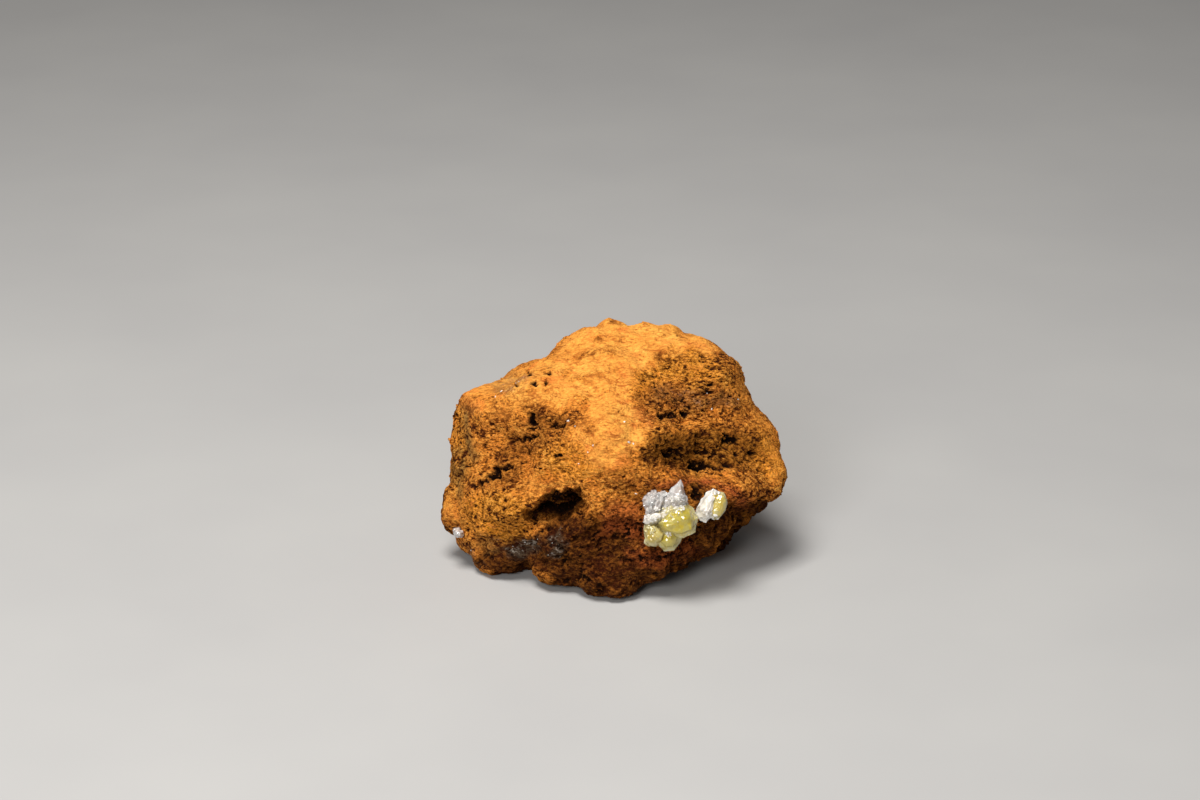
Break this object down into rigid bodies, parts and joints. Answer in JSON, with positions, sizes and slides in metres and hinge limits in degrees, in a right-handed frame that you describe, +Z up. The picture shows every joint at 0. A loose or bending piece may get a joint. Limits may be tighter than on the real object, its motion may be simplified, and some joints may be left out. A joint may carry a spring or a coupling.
{
  "type": "adamite mineral specimen on limonite matrix",
  "caption": "Lump of rusty porous limonite that rests on its own feet, with yellow-green and colourless adamite crystals in a nest under a ledge of its front.",
  "frame": {"origin": "bottom centre of the specimen's box, on the surface that it rests on", "axes": "+Z up, +X to the right along the longest side, front with the crystals towards -Y"},
  "size_m": [0.0341, 0.0264, 0.022],
  "materials": {
    "limonite": "earthy, porous, matt",
    "adamite": "vitreous, clear to milky",
    "white_crystal": "vitreous, milky"
  },
  "bodies": {
    "root": {"limonite_matrix": "limonite", "adamite_cluster": "adamite", "adamite_side_crystal": "adamite", "white_crystal": "white_crystal"}
  },
  "joints": []
}
